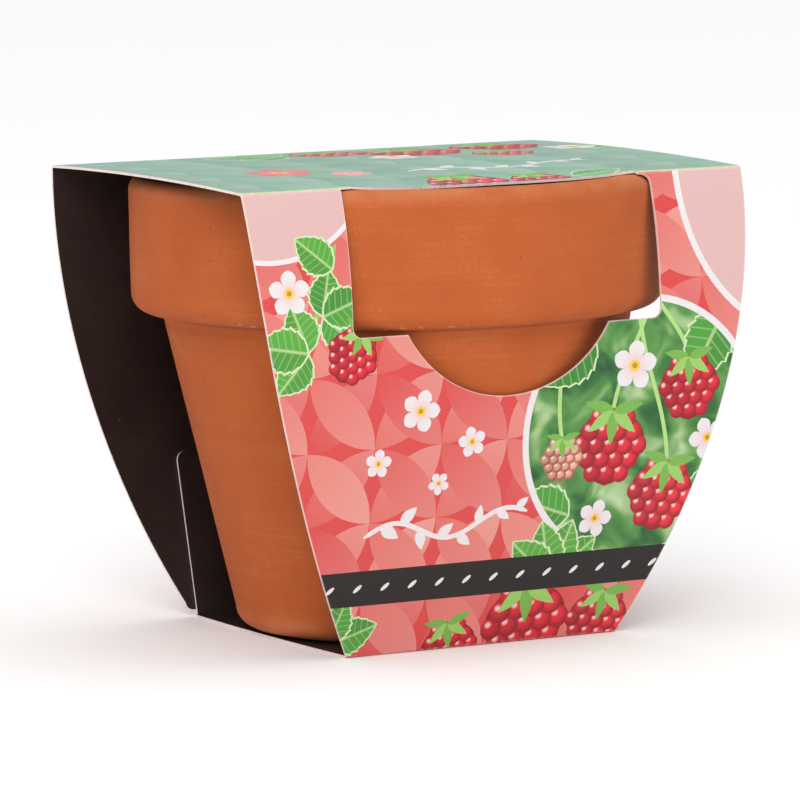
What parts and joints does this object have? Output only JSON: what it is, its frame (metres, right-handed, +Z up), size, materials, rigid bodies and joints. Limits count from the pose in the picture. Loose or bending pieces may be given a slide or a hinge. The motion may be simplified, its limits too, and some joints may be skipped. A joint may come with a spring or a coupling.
{
  "type": "terracotta plant pot in a card sleeve",
  "caption": "Flared terracotta pot with a broad rim, held in a folded card sleeve whose windows let the rim show, with pressed coir growing tablets and a flat paper seed sachet inside.",
  "frame": {"origin": "centre of the overall footprint, on the surface that the sleeve's flat base stands on", "axes": "+Z up; X runs from one open end of the sleeve to the other; the sleeve's front panel, with the window in the picture, faces -Y"},
  "size_m": [0.1142, 0.11, 0.0958],
  "materials": {
    "terracotta": "matt unglazed",
    "printed_card": "satin",
    "coir": "rough pressed fibre",
    "sachet_paper": "matt"
  },
  "bodies": {
    "root": {"pot": "terracotta", "sleeve": "printed_card", "coir_tablet_lower": "coir", "coir_tablet_upper": "coir", "seed_sachet": "sachet_paper"}
  },
  "joints": []
}
